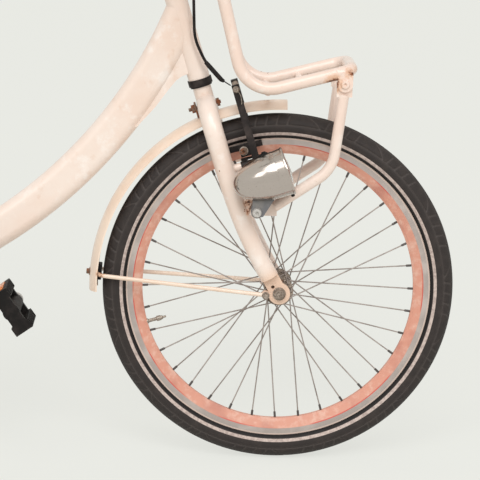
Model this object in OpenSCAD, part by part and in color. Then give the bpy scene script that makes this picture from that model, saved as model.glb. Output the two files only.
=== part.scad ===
// Kids bicycle with a step-through frame, a tube carrier over the front wheel and a side stand.
// X points forward, Y to the bicycle's left, Z up. Sizes in mm, angles in degrees.

/* [Wheels] */
// Outer radius of both tyres
wheel_r = 300; // [250:1:330]
// Radius of the tyre's round section
tyre_section_r = 23; // [18:0.5:28]
// Thickness of the tyre's wall
tyre_wall = 4; // [3:0.5:6]
// Radius of the rim's flange
rim_r = 260; // [230:1:290]
// Width of the rim over its brake tracks
rim_w = 26; // [22:1:32]
// Radial depth of the rim
rim_depth = 28; // [18:1:34]
// Radial height of the bare brake track
track_h = 11.5; // [8:0.5:14]
// Radius of a spoke
spoke_r = 1.1; // [0.9:0.1:1.5]
// Spokes on each side of a hub
spokes_side = 18; // [12:1:20]
// Holes that a spoke runs round the hub's flange before it leaves for the rim
spoke_turn = 6; // [3:1:8]
// Distance between the two axles
wheelbase = 1014; // [900:1:1100]

/* [Frame] */
// Angle of the steering axis from vertical
steer_tilt = 17.2; // [14:0.1:22]
// Distance of the front axle ahead of the steering axis
fork_rake = 28.8; // [20:0.1:50]
// Outer radius of the head tube
head_r = 18.5; // [15:0.5:24]
// Length of the head tube
head_len = 152; // [110:1:180]
// Height of the main tube's oval section
main_h = 62; // [45:1:70]
// Width of the main tube's oval section
main_w = 36; // [28:1:44]
// Radius of the main tube's sweep
main_arc_r = 815; // [650:5:1200]
// Radius of the seat tube
seat_tube_r = 17; // [14:0.5:20]
// Length of the seat tube above the bottom bracket
seat_tube_len = 345; // [250:1:420]
// Angle of the seat tube from vertical
seat_tilt = 19; // [14:0.5:24]
// Radius of the chain stays
chainstay_r = 8; // [7:0.5:11]
// Radius of the seat stays
seatstay_r = 7.5; // [6:0.5:10]
// Height of the bottom bracket
bracket_z = 287; // [240:1:310]
// Distance of the bottom bracket behind the front axle
bracket_back = 589; // [520:1:640]

/* [Fork and bars] */
// Distance of each fork leg from the middle
fork_y = 57; // [50:0.5:64]
// Radius of the fork legs at the crown
fork_top_r = 16.5; // [13:0.5:18]
// Radius of the fork legs at the axle
fork_low_r = 15.8; // [10:0.1:18]
// Sweep radius of the fork legs' lower half
fork_arc_r = 805; // [500:5:1200]
// Radius of the handlebar tube
bar_r = 11.1; // [10:0.1:13]
// Half the width over the grips
bar_half = 270; // [220:5:300]
// Height of the handlebar above its clamp
bar_rise = 55; // [0:5:120]

/* [Carriers and mudguards] */
// Radius of the front carrier's tube
carrier_r = 10.5; // [8:0.5:13]
// Distance of the front carrier's side tubes from the middle
carrier_y = 68; // [55:1:90]
// Radius of the front carrier's legs
leg_r = 9.3; // [6:0.1:11]
// Outer radius of the mudguards about their axle
guard_r = 323; // [312:1:330]
// Width of the mudguards
guard_w = 51; // [44:1:58]
// Thickness of the mudguard sheet
guard_t = 1.6; // [1:0.1:3]

/* [Seat and stand] */
// Height of the saddle's top
saddle_z = 765; // [650:5:850]
// Length of the crank arms
crank_len = 146; // [120:1:165]
// Angle at which the right pedal hangs
pedal_tilt = 55; // [-90:1:90]
// Angle at which the parked bicycle leans to its stand
lean = 6.5; // [0:0.5:10]
// Distance of the stand's foot from the middle
foot_y = 178; // [140:1:220]

/* [Fits] */
// Running gap round shafts
run_gap = 0.1; // [0.05:0.01:0.3]
// Gap between faces that slide past each other
face_gap = 0.3; // [0.2:0.05:1]
// Gap between pieces that are bolted or pressed together
seat_gap = 0.15; // [0.05:0.05:0.3]

/* [Hidden] */
$fn = 48;
// A bend's tube is this much slimmer than the straight tubes that it runs into
nest = 0.06;
front_hub = [0, 0, wheel_r];
rear_hub = [-wheelbase, 0, wheel_r];
bracket = [-bracket_back, 0, bracket_z];
tyre_c = wheel_r - tyre_section_r;
rim_in = rim_r - rim_depth;
lift = tyre_section_r * (1 - cos(lean));
middle = [wheelbase / 2 + 10, -106.7, lift];
steer_up = [-sin(steer_tilt), 0, cos(steer_tilt)];
steer_fwd = [cos(steer_tilt), 0, sin(steer_tilt)];
steer_base = front_hub - fork_rake * steer_fwd;
seat_up = [-sin(seat_tilt), 0, cos(seat_tilt)];
// Heights along the steering axis, from the level of the front axle
crown_s = 340;
cup_s = 371.5;
cup_h = 11;
head_s = cup_s + cup_h;
head_top_s = head_s + head_len;
stem_s = head_top_s + cup_h + 18;
clamp_s = stem_s + 60;
steerer_r = 12.7;
fork_arc_s = sqrt(2 * fork_arc_r * fork_rake);
fork_end_s = 32;
flange_t = 3;
lace_y = 1.2;
nipple_in = 0.5;
front_flange_r = 25;
front_hole_r = front_flange_r - 5;
rear_flange_r = 38;
rear_hole_r = rear_flange_r - 5;
front_axle_r = 4.7;
rear_axle_r = 5;
drop_y = 50;
drop_t = 6;
rear_drop_y = 62;
rear_drop_t = 5;
pad_gap = 2.5;
pedal_y = 90;
crank_y = 70;
crank_t = 11;
case_y = 45;
case_t = 19;
guard_edge_r = guard_r - 15;
stand_pivot = rear_hub + [78, 80, -34];
foot_r = 9;
foot_z = (foot_y * sin(lean) + foot_r - lift) / cos(lean);
foot = [stand_pivot[0] + 30, foot_y, foot_z];
stand_splay = atan2(foot_y - stand_pivot[1], stand_pivot[2] - foot_z);
bar_c = steer_base + clamp_s * steer_up + 52 * steer_fwd;
carrier_front = [109.5, 682.2];
carrier_knee = [-63.5, 637];
carrier_tab = [100, 660];
carrier_top_z = bar_c[2] + 8;
carrier_top = [carrier_knee[0] - (carrier_top_z - carrier_knee[1]) * tan(13.9), carrier_top_z];
lamp_y = 104;
lamp_tilt = 19.5;
lamp_tail = [-81, -lamp_y, 487.6];
lamp_foot = [-42.4, 449.3];
lug_x = [-53, -8];
race_h = 3;

function unit(v) = v / norm(v);
function on_steer(s, fwd = 0, y = 0) = steer_base + s * steer_up + fwd * steer_fwd + [0, y, 0];

// The main tube's sweep runs through a place over the bottom bracket and one ahead of the head tube's top
main_low = bracket + [-27.8, 0, 34.8];
main_top = on_steer(head_top_s + 34.7, 59.8);
main_chord = main_top - main_low;
arc_c = (main_low + main_top) / 2
    + sqrt(main_arc_r * main_arc_r - main_chord * main_chord / 4) * unit([-main_chord[2], 0, main_chord[0]]);
main_a1 = atan2(main_low[2] - arc_c[2], main_low[0] - arc_c[0]);
main_a2 = atan2(main_top[2] - arc_c[2], main_top[0] - arc_c[0]);

// Place in the bicycle's middle plane, at an angle of the sweep and off the main tube's lower edge
function main_edge(a, off) = let (r = main_arc_r + main_h / 2 + off) [arc_c[0] + r * cos(a), arc_c[2] + r * sin(a)];

// Scaled to one unit along the steering unit's forward direction
function unit_x(v) = v / (v * steer_fwd);

// Parked on its stand
module parked() {
    translate(middle) rotate([-lean, 0, 0]) children();
}

// Frame with its Z along the line from a to b
module along(a, b, side = [0, 1, 0]) {
    w = unit(b - a);
    u = unit(cross(abs(w * unit(side)) > 0.99 ? [1, 0, 0] : side, w));
    v = cross(w, u);
    multmatrix([[u[0], v[0], w[0], a[0]], [u[1], v[1], w[1], a[1]], [u[2], v[2], w[2], a[2]], [0, 0, 0, 1]])
        children();
}

module rod(a, b, r, r2 = -1) {
    along(a, b) cylinder(h = norm(b - a), r1 = r, r2 = r2 < 0 ? r : r2);
}

// Round tube through the points, each corner bent to the radius at its place in rb
module bent_tube(p, r, rb) {
    n = len(p);
    bend = [for (i = [0:n - 1]) is_list(rb) ? rb[i] : rb];
    u = [for (i = [0:n - 1]) i > 0 ? unit(p[i - 1] - p[i]) : [0, 0, 0]];
    v = [for (i = [0:n - 1]) i < n - 1 ? unit(p[i + 1] - p[i]) : [0, 0, 0]];
    half = [for (i = [0:n - 1]) i > 0 && i < n - 1 ? acos(u[i] * v[i]) / 2 : 90];
    cut = [for (i = [0:n - 1]) half[i] > 89.9 ? 0 : bend[i] / tan(half[i])];
    for (i = [0:n - 2]) rod(p[i] + cut[i] * v[i], p[i + 1] + cut[i + 1] * u[i + 1], r);
    for (i = [1:n - 2]) if (cut[i] > 0) {
        c = p[i] + unit(u[i] + v[i]) * bend[i] / sin(half[i]);
        ex = unit(p[i] + cut[i] * u[i] - c);
        ey = -u[i];
        ez = cross(ex, ey);
        into = sqrt(nest * bend[i]) / bend[i] * 180 / PI;
        multmatrix([[ex[0], ey[0], ez[0], c[0]], [ex[1], ey[1], ez[1], c[1]],
            [ex[2], ey[2], ez[2], c[2]], [0, 0, 0, 1]])
            rotate_extrude(angle = 180 - 2 * half[i] + 2 * into, start = -into)
                translate([bend[i], 0]) circle(r - nest);
    }
}

// Turned about a lying axis through c
module turned(c) {
    translate(c) rotate([-90, 0, 0]) rotate_extrude($fn = 96) children();
}

// Cylinder lying across the bicycle from y1 to y2
module across(c, y1, y2, r) {
    translate([c[0], y1, c[2]]) rotate([-90, 0, 0]) cylinder(h = y2 - y1, r = r);
}

module hex_across(c, y1, y2, flats) {
    translate([c[0], y1, c[2]]) rotate([-90, 0, 0]) cylinder(h = y2 - y1, r = flats / sqrt(3), $fn = 6);
}

module steer_frame(s = 0) {
    translate(steer_base) rotate([0, -steer_tilt, 0]) translate([0, 0, s]) children();
}

// Wheels

module tyre(c) {
    turned(c) difference() {
        union() {
            difference() {
                translate([tyre_c, 0]) circle(tyre_section_r);
                translate([tyre_c - tyre_section_r - 5, -30]) square([rim_r + 0.2 - tyre_c + tyre_section_r + 5, 60]);
            }
            translate([rim_r - 6, -10]) square([8, 20]);
        }
        translate([tyre_c, 0]) circle(tyre_section_r - tyre_wall);
        translate([rim_r - 10, -6]) square([20, 12]);
    }
}

module rim(c) {
    hw = rim_w / 2;
    turned(c) polygon([[rim_r, hw], [rim_r - track_h, hw], [rim_in + 5, hw - 5.5], [rim_in, hw - 9],
        [rim_in, 9 - hw], [rim_in + 5, 5.5 - hw], [rim_r - track_h, -hw], [rim_r, -hw],
        [rim_r, -hw + 2], [rim_r - 6.3, -hw + 2.4], [rim_r - 6.3, -5], [rim_r - 11, -4],
        [rim_r - 11, 4], [rim_r - 6.3, 5], [rim_r - 6.3, hw - 2.4], [rim_r, hw - 2]]);
}

// One spoke with its nipple, from the flange's face to the rim's bed
module spoke(hole_r, a1, y1, a2, y2) {
    a = [hole_r * cos(a1), y1, hole_r * sin(a1)];
    b = [(rim_in - nipple_in) * cos(a2), y2, (rim_in - nipple_in) * sin(a2)];
    d = unit(b - a);
    rod(a, b - 4 * d, spoke_r);
    rod(b - 9 * d, b, 2);
}

// Share of a spoke's way to the rim at which it passes the edge of the flange
function edge_share(hole_r, flange_r) =
    let (turn = spoke_turn * 180 / spokes_side)
    let (d = rim_in * [cos(turn), sin(turn)] - [hole_r, 0], dot = hole_r * d[0])
    (sqrt(dot * dot + d * d * (flange_r * flange_r - hole_r * hole_r)) - dot) / (d * d);

// Every other spoke lies outside its flange and rests on the flange's edge as it runs in to the rim
module spokes(c, hole_r, flange_r, flange_y) {
    step = 360 / spokes_side;
    off = flange_t / 2 + spoke_r + seat_gap;
    share = edge_share(hole_r, flange_r);
    inner_y = flange_y - off;
    outer_y = (flange_y + off - share * lace_y) / (1 - share);
    translate(c) for (side = [-1, 1], i = [0:spokes_side - 1]) {
        out = i % 2 == 0 ? 1 : -1;
        a1 = i * step + (side > 0 ? step / 2 : 0);
        a2 = a1 + out * spoke_turn * step / 2;
        spoke(hole_r, a1, side * (out > 0 ? outer_y : inner_y), a2, side * lace_y);
    }
}

module hub_shell(c, barrel_r, flange_r, flange_y, end_y, bore_r) {
    difference() {
        union() {
            across(c, -end_y, end_y, barrel_r);
            for (side = [-1, 1]) across(c, side * flange_y - flange_t / 2, side * flange_y + flange_t / 2, flange_r);
        }
        across(c, -end_y - 1, end_y + 1, bore_r);
    }
}

module front_tyre() { color("dimgray") tyre(front_hub); }
module front_rim() { color("lightpink") rim(front_hub); }
module front_spokes() { color("silver") spokes(front_hub, front_hole_r, front_flange_r, 33); }
module front_hub_shell() { color("gray") hub_shell(front_hub, 16, front_flange_r, 33, 45, front_axle_r + run_gap); }
module rear_tyre() { color("dimgray") tyre(rear_hub); }
module rear_rim() { color("lightpink") rim(rear_hub); }
module rear_spokes() { color("silver") spokes(rear_hub, rear_hole_r, rear_flange_r, 28); }
module rear_hub_shell() { color("gray") hub_shell(rear_hub, 29, rear_flange_r, 28, 42, rear_axle_r + run_gap); }

module axle_set(c, r, seat_y, plate_t, nut_flats) {
    end_y = seat_y + plate_t + 16;
    across(c, -end_y, end_y, r);
    for (side = [-1, 1]) {
        outer = seat_y + plate_t + seat_gap;
        across(c, side > 0 ? seat_y - 4.5 : -seat_y + seat_gap, side > 0 ? seat_y - seat_gap : -seat_y + 4.5, 9);
        across(c, side > 0 ? outer : -outer - 2, side > 0 ? outer + 2 : -outer, 11);
        hex_across(c, side > 0 ? outer + 2 : -outer - 10, side > 0 ? outer + 10 : -outer - 2, nut_flats);
    }
}

module front_axle() { color("silver") axle_set(front_hub, front_axle_r, drop_y, drop_t, 15); }
module rear_axle() { color("silver") axle_set(rear_hub, rear_axle_r, rear_drop_y, rear_drop_t, 15); }

// Frame

module head_core(r) {
    steer_frame(head_s) cylinder(h = head_len, r = r);
}

module head_tube() {
    color("mistyrose") difference() {
        head_core(head_r);
        steer_frame(head_s - 1) cylinder(h = head_len + 2, r = 15);
    }
}

module oval() {
    square([main_h - main_w, main_w], center = true);
    for (x = [-1, 1]) translate([x * (main_h - main_w) / 2, 0]) circle(main_w / 2);
}

module main_tube() {
    a = main_a2 - 14;
    throat = on_steer(head_s + 15.5);
    color("mistyrose") difference() {
        union() {
            translate(arc_c) rotate([90, 0, 0]) rotate_extrude(angle = main_a2 - main_a1, start = main_a1, $fn = 200)
                translate([main_arc_r, 0]) oval();
            translate([0, 12, 0]) rotate([90, 0, 0]) linear_extrude(24)
                polygon([main_edge(a - 7.5, -9), main_edge(a - 6.5, -1.5), main_edge(a - 3.5, 4), main_edge(a - 1, 6.5),
                    main_edge(a + 0.3, 9.5), main_edge(a + 1, 14), [throat[0], throat[2]], main_edge(a + 6, -12)]);
        }
        steer_frame(head_s - 200) cylinder(h = head_len + 400, r = head_r + seat_gap);
        steer_frame(head_s - 200) translate([0, -60, 0]) cube([200, 120, head_len + 500]);
        translate(bracket) rotate([0, -seat_tilt, 0]) {
            translate([0, 0, -300]) cylinder(h = 900, r = seat_tube_r + seat_gap);
            translate([-400, -60, -300]) cube([400, 120, 900]);
        }
        across(bracket, -60, 60, 20 + seat_gap);
    }
}

module seat_tube() {
    color("mistyrose") translate(bracket) rotate([0, -seat_tilt, 0]) difference() {
        cylinder(h = seat_tube_len, r = seat_tube_r);
        translate([0, 0, 120]) cylinder(h = seat_tube_len, r = 13.6);
        translate([0, 60, 0]) rotate([90, 0, 0]) cylinder(h = 120, r = 20 + seat_gap);
    }
}

module bracket_shell() {
    color("mistyrose") difference() {
        across(bracket, -34, 34, 20);
        across(bracket, -35, 35, 8.5 + run_gap);
    }
}

function stay_low(side) = [bracket + [-19, side * 26, 0], bracket + [-95, side * 36.5, 2],
    rear_hub + [190, side * 44, -1], rear_hub + [34, side * 64.5, 0]];

module chain_stay(side, more = 0) {
    p = stay_low(side);
    bent_tube(p, chainstay_r + more, 70);
}

module chain_stays() {
    color("mistyrose") difference() {
        union() {
            for (side = [-1, 1]) chain_stay(side);
            across(bracket + [-72, 0, 1], -33, 33, 7);
        }
        across(bracket, -60, 60, 20 + seat_gap);
        for (side = [-1, 1]) drop_plate(side, seat_gap);
    }
}

function stay_high(side) = [bracket + (seat_tube_len - 45) * seat_up + [-12, side * 22, 0],
    rear_hub + [18, side * 64.5, 30]];

// The bridge lies on the rear mudguard
bridge_r = 6;
bridge_b = stay_high(1)[1] - rear_hub;
bridge_d = stay_high(1)[0] - stay_high(1)[1];
bridge_bd = bridge_b[0] * bridge_d[0] + bridge_b[2] * bridge_d[2];
bridge_dd = bridge_d[0] * bridge_d[0] + bridge_d[2] * bridge_d[2];
bridge_far = pow(guard_r + bridge_r + seat_gap, 2) - bridge_b[0] * bridge_b[0] - bridge_b[2] * bridge_b[2];
bridge_share = (sqrt(bridge_bd * bridge_bd + bridge_dd * bridge_far) - bridge_bd) / bridge_dd;
stay_bridge = rear_hub + [bridge_b[0] + bridge_share * bridge_d[0], 0, bridge_b[2] + bridge_share * bridge_d[2]];

module seat_stays() {
    color("mistyrose") difference() {
        union() {
            for (side = [-1, 1]) rod(stay_high(side)[0], stay_high(side)[1], seatstay_r);
            across(stay_bridge, -28, 28, bridge_r);
        }
        translate(bracket) rotate([0, -seat_tilt, 0]) cylinder(h = 600, r = seat_tube_r + seat_gap);
        for (side = [-1, 1]) drop_plate(side, seat_gap);
    }
}

module drop_plate(side, more = 0) {
    y = side > 0 ? rear_drop_y : -rear_drop_y - rear_drop_t;
    translate(rear_hub + [0, y - more, 0]) rotate([-90, 0, 0]) linear_extrude(rear_drop_t + 2 * more) {
        circle(19 + more);
        translate([0, -13 - more]) square([46 + more, 26 + 2 * more]);
        rotate([0, 0, -59]) translate([0, -12 - more]) square([44 + more, 24 + 2 * more]);
    }
}

module rear_dropouts() {
    color("mistyrose") difference() {
        for (side = [-1, 1]) drop_plate(side);
        across(rear_hub, -80, 80, rear_axle_r + seat_gap);
    }
}

module headset_cups() {
    color("black") difference() {
        union() {
            steer_frame(cup_s) cylinder(h = cup_h - seat_gap, r = 20.5);
            steer_frame(head_top_s + seat_gap) cylinder(h = cup_h, r = 20.5);
        }
        steer_frame(cup_s - 5) cylinder(h = head_len + 60, r = steerer_r + run_gap);
    }
}

module seat_post() {
    color("silver") translate(bracket) rotate([0, -seat_tilt, 0]) translate([0, 0, 150])
        cylinder(h = (saddle_z - 62 - bracket_z) / cos(seat_tilt) - 150, r = 13.5);
}

module seat_clamp() {
    color("silver") translate(bracket) rotate([0, -seat_tilt, 0]) {
        translate([0, 0, seat_tube_len - 16]) difference() {
            cylinder(h = 18, r = 21);
            translate([0, 0, -1]) cylinder(h = 17, r = seat_tube_r + seat_gap);
            cylinder(h = 30, r = 13.5 + seat_gap);
        }
        translate([-27, 14, seat_tube_len - 8]) rotate([90, 0, 0]) cylinder(h = 28, r = 3.5);
        translate([-25, -8, seat_tube_len - 14]) cube([6, 16, 12]);
    }
}

seat_mid = bracket + (saddle_z - bracket_z - 55) / cos(seat_tilt) * seat_up;

module saddle_rails() {
    color("dimgray") {
        for (side = [-1, 1])
            bent_tube([[seat_mid[0] + 118, side * 9, saddle_z - 38], [seat_mid[0] + 55, side * 20, saddle_z - 52],
                [seat_mid[0] - 42, side * 20, saddle_z - 52], [seat_mid[0] - 92, side * 34, saddle_z - 38]], 3.5, 20);
        difference() {
            across([seat_mid[0], 0, saddle_z - 54], -28, 28, 13);
            translate(bracket) rotate([0, -seat_tilt, 0]) cylinder(h = (saddle_z - 62 - bracket_z) / cos(seat_tilt) + seat_gap, r = 20);
        }
    }
}

module saddle() {
    color("black") difference() {
        hull() for (side = [-1, 1]) {
            translate([seat_mid[0] - 100, side * 52, saddle_z - 18]) sphere(17.8, $fn = 28);
            translate([seat_mid[0] - 60, side * 66, saddle_z - 22]) sphere(12, $fn = 28);
            translate([seat_mid[0] + 20, side * 24, saddle_z - 20]) sphere(14, $fn = 28);
            translate([seat_mid[0] + 128, 0, saddle_z - 21]) sphere(15, $fn = 28);
            translate([seat_mid[0] - 105, 0, saddle_z - 22]) sphere(21, $fn = 28);
        }
        translate([seat_mid[0] - 300, -200, saddle_z - 134]) cube([600, 400, 100]);
    }
}

// Drive

// Form of the chain case: a round about each axle and the straight runs between them
module case_form() {
    front = 86;
    back = 46;
    d = [bracket_back - wheelbase, wheel_r - bracket_z];
    tilt = atan2(d[1], d[0]);
    turn = acos((front - back) / norm(d));
    cylinder(h = case_t, r = front);
    translate(d) cylinder(h = case_t, r = back);
    f = front - 0.2;
    b = back - 0.2;
    linear_extrude(case_t) polygon([f * [cos(tilt + turn), sin(tilt + turn)], d + b * [cos(tilt + turn), sin(tilt + turn)],
        d + b * [cos(tilt - turn), sin(tilt - turn)], f * [cos(tilt - turn), sin(tilt - turn)]]);
}

module chain_case() {
    color("black") difference() {
        translate([bracket[0], -case_y, bracket_z]) rotate([90, 0, 0]) case_form();
        across(bracket, -90, 0, 18);
        across(rear_hub, -90, 0, 14);
        chain_stay(-1, 0.5);
        rod(stay_high(-1)[0], stay_high(-1)[1], seatstay_r + 0.5);
        translate(rear_hub + [-60, -90, -23]) cube([140, 32, 46]);
        translate(rear_hub + [-20, -90, 0]) cube([60, 32, 60]);
    }
}

module crank_arm(side) {
    y = side > 0 ? crank_y : -crank_y - crank_t;
    translate([bracket[0], y, bracket_z]) rotate([0, side > 0 ? 180 : 0, 0]) {
        rotate([-90, 0, 0]) cylinder(h = crank_t, r = 17);
        translate([crank_len, 0, 0]) rotate([-90, 0, 0]) cylinder(h = crank_t, r = 13);
        translate([0, 0, -12]) cube([crank_len, crank_t, 24]);
    }
}

module crank_set() {
    color("silver") {
        across(bracket, -crank_y - crank_t, crank_y + crank_t, 8.5);
        crank_arm(-1);
        crank_arm(1);
        across(bracket + [crank_len, 0, 0], -pedal_y - 72, -crank_y, 5);
        across(bracket - [crank_len, 0, 0], crank_y, pedal_y + 72, 5);
    }
}

module pedal_right() {
    color("black") mirror([0, 1, 0]) pedal_left_at([bracket[0] + crank_len, 0, bracket_z]);
}

module pedal_left() {
    color("black") pedal_left_at([bracket[0] - crank_len, 0, bracket_z]);
}

module pedal_left_at(c) {
    translate([c[0], pedal_y, c[2]]) rotate([0, pedal_tilt, 0]) difference() {
        union() {
            rotate([-90, 0, 0]) cylinder(h = 76, r = 14);
            for (x = [-1, 1]) translate([x * 31 - 8, 0, -16]) cube([16, 76, 32]);
            for (y = [0, 68]) translate([-31, y, -12]) cube([62, 8, 24]);
        }
        translate([0, -1, 0]) rotate([-90, 0, 0]) cylinder(h = 73.5, r = 5 + run_gap);
    }
}

// Mudguards and rear carrier

module guard_band(c, a1, a2) {
    crown_r = 34;
    translate(c) rotate([90, 0, 0]) rotate_extrude(angle = a2 - a1, start = a1, $fn = 128) intersection() {
        translate([guard_r - crown_r, 0]) difference() {
            circle(crown_r);
            circle(crown_r - guard_t);
        }
        translate([guard_edge_r, -guard_w / 2]) square([40, guard_w]);
    }
}

module front_mudguard() { color("peachpuff") guard_band(front_hub, 88.5, 181.5); }
module rear_mudguard() { color("peachpuff") guard_band(rear_hub, 14, 196); }

// Wire stay: hooked under the mudguard's crown, then down both sides to the dropouts
module guard_stay(c, a, y_end, end) {
    hook = guard_r - guard_t - 2.2;
    side = guard_edge_r - 7;
    d = [cos(a), 0, sin(a)];
    p = [c + [end[0], -y_end, end[1]], c + side * d + [0, -29, 0], c + hook * d,
        c + side * d + [0, 29, 0], c + [end[0], y_end, end[1]]];
    bent_tube(p, 3.6, [0, 11, 11, 11, 0]);
}

module eyelets(c, y_end, end) {
    for (side = [-1, 1]) across(c + [end[0], 0, end[1]], side > 0 ? y_end - 3.6 : -y_end - 3.6,
        side > 0 ? y_end + 3.6 : 3.6 - y_end, 6);
}

front_stay_a = 176;
front_stay_y = drop_y + drop_t + 3.8;
front_eye = [-23, -2];
rear_stay_a = 172;
rear_stay_y = rear_drop_y + rear_drop_t + 3.8;
rear_eye = [-14, 14];

module front_guard_stay() {
    color("peachpuff") {
        guard_stay(front_hub, front_stay_a, front_stay_y, front_eye);
        eyelets(front_hub, front_stay_y, front_eye);
    }
}

module rear_guard_stay() {
    color("peachpuff") {
        guard_stay(rear_hub, rear_stay_a, rear_stay_y, rear_eye);
        eyelets(rear_hub, rear_stay_y, rear_eye);
    }
}

deck_z = 655;
deck_y = 55;
deck_joint_r = 6.2;
deck_front = rear_hub[0] + 240;
deck_back = rear_hub[0] - 160;

module rear_carrier() {
    color("black") {
        bent_tube([[deck_back, 1, deck_z], [deck_back, deck_y, deck_z], [deck_front, deck_y, deck_z],
            [deck_front, -deck_y, deck_z], [deck_back, -deck_y, deck_z], [deck_back, -1, deck_z]], 5.5, 25);
        across([deck_back, 0, deck_z], -8, 8, deck_joint_r);
        for (x = [deck_front - 110, deck_front - 210, deck_front - 310])
            across([x, 0, deck_z], -deck_y, deck_y, 4);
        for (side = [-1, 1]) {
            bent_tube([[rear_hub[0] - 30, side * deck_y, deck_z], [rear_hub[0] - 24, side * 78.6, deck_z - 150],
                [rear_hub[0] - 14, side * 78.6, wheel_r + 20]], 4, 60);
            across(rear_hub + [-14, 0, 14], side > 0 ? 74.6 : -82, side > 0 ? 82 : -74.6, 8);
        }
        rod([deck_front, 0, deck_z], stay_bridge + (bridge_r + seat_gap) * unit([deck_front, 0, deck_z] - stay_bridge), 5);
    }
}

module rear_lamp() {
    color("red") translate([deck_back - deck_joint_r - seat_gap - 20, 0, deck_z - 3]) {
        translate([0, -22, -19]) cube([20, 44, 38]);
        for (side = [-1, 1]) translate([0.5, side * 22, 0]) rotate([0, 90, 0]) cylinder(h = 19, r = 18.8);
    }
}

// Steering unit

module fork_leg(side) {
    y = side * fork_y;
    bend_s = crown_s - fork_y;
    into = sqrt(nest * fork_arc_r) / fork_arc_r * 180 / PI;
    translate([0, y, fork_arc_s]) cylinder(h = bend_s - fork_arc_s, r1 = fork_low_r, r2 = fork_top_r);
    arc = asin((fork_arc_s - fork_end_s) / fork_arc_r);
    translate([fork_arc_r, y, fork_arc_s]) rotate([90, 0, 0])
        rotate_extrude(angle = arc + into, start = 180 - into, $fn = 128)
            translate([fork_arc_r, 0]) circle(fork_low_r - nest);
}

module fork_plate(side) {
    y = side > 0 ? drop_y : -drop_y - drop_t;
    eye_fwd = front_eye[0] * cos(steer_tilt) + front_eye[1] * sin(steer_tilt);
    eye_up = front_eye[1] * cos(steer_tilt) - front_eye[0] * sin(steer_tilt);
    translate([fork_rake, y, 0]) rotate([-90, 0, 0]) {
        cylinder(h = drop_t, r = 18.5);
        translate([eye_fwd, -eye_up, side > 0 ? 0.1 : 1]) cylinder(h = drop_t - 1.1, r = 7);
        rotate([0, 0, -12.6]) translate([-14, -60, 0.2]) cube([28, 60, drop_t - 0.4]);
    }
}

module fork() {
    color("mistyrose") steer_frame() difference() {
        union() {
            translate([0, 0, crown_s - fork_y]) rotate([90, 0, 90])
                rotate_extrude(angle = 182, start = -1, $fn = 96) translate([fork_y, 0]) circle(fork_top_r - nest);
            translate([0, 0, crown_s]) cylinder(h = cup_s - race_h - crown_s, r = 15.5);
            translate([0, 0, crown_s]) cylinder(h = stem_s + 2 - crown_s, r = steerer_r);
            for (side = [-1, 1]) {
                difference() {
                    fork_leg(side);
                    translate([fork_rake, -100, 0]) rotate([-90, 0, 0]) cylinder(h = 200, r = 28);
                }
                fork_plate(side);
                translate([14, side * 60 - 3, 148]) cube([34, 6, 24]);
                translate([12, side * 48, boss_s]) rotate([0, 90, 0]) cylinder(h = boss_fwd - 12, r = 7);
            }
        }
        translate([fork_rake, -100, 0]) rotate([-90, 0, 0]) cylinder(h = 200, r = front_axle_r + seat_gap);
        translate([fork_rake - 7, -100, 14]) rotate([-90, 0, 0]) cylinder(h = 200, r = 3);
        translate([-60, 0, 335]) rotate([0, 90, 0]) cylinder(h = 120, r = 3 + seat_gap);
        translate([0, 0, head_top_s - 40]) cylinder(h = 200, r = 11 + seat_gap);
    }
}

module crown_race() {
    color("black") difference() {
        union() {
            steer_frame(cup_s - race_h + seat_gap) cylinder(h = race_h - seat_gap - face_gap, r = 18.5);
            steer_frame(head_top_s + cup_h + seat_gap + face_gap) cylinder(h = 17.5, r = 17.5);
        }
        steer_frame(crown_s) cylinder(h = 400, r = steerer_r + run_gap);
    }
}

module guard_bracket() {
    tongue_s = sqrt(pow(guard_r + seat_gap, 2) - pow(fork_rake + 18, 2));
    color("saddlebrown") {
        steer_frame(335) rotate([0, 90, 0]) translate([0, 0, -32]) cylinder(h = 56, r = 3);
        steer_frame(335) translate([-27, 0, 0]) rotate([0, 90, 0]) cylinder(h = 6, r = 7, $fn = 6);
        steer_frame(335) translate([17, 0, 0]) rotate([0, 90, 0]) cylinder(h = 5, r = 7, $fn = 6);
        steer_frame(tongue_s) translate([-21, -9, 0]) cube([3, 18, 344.8 - tongue_s]);
    }
}

// Rim brake: each arm stands ahead of its leg on a boss and carries a block at the rim's track
arm_fwd = 55;
arm_w = 12;
arm_top_s = 360;
boss_fwd = 28;
boss_s = 226;
pad_a = 104.9;
module brake_arm(side) {
    r_mid = rim_r - track_h / 2;
    y1 = rim_w / 2 + pad_gap;
    steer_frame() {
        along([arm_fwd, side * 47.5, 221], [arm_fwd, side * 36, arm_top_s])
            translate([-arm_w / 2, -4.5, 0]) cube([arm_w, 9, arm_top_s - 221]);
        translate([boss_fwd + seat_gap, side * 48, boss_s]) rotate([0, 90, 0]) cylinder(h = 12, r = 8);
        translate([boss_fwd + 4, side * 47.6 - 5, boss_s - 6.5]) cube([arm_fwd - boss_fwd, 10, 13]);
        translate([32, side * 43.6 - 4, 240]) cube([20.5, 8, 21]);
    }
    translate(front_hub) rotate([0, 90 - pad_a, 0]) {
        translate([-24, side > 0 ? y1 : -y1 - 9, r_mid - 6.2]) cube([57, 9, 9]);
        translate([0, side > 0 ? y1 + 4 : -y1 - 30, r_mid - 4]) rotate([-90, 0, 0]) cylinder(h = 26, r = 4);
    }
}

module brake_arms() { color("black") for (side = [-1, 1]) brake_arm(side); }

bar_end = bar_path(-1)[4];
grip_dir = unit(bar_end - bar_path(-1)[3]);
lever_at = bar_end - 126 * grip_dir;
lever_off = [8, 6, -21];

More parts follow.
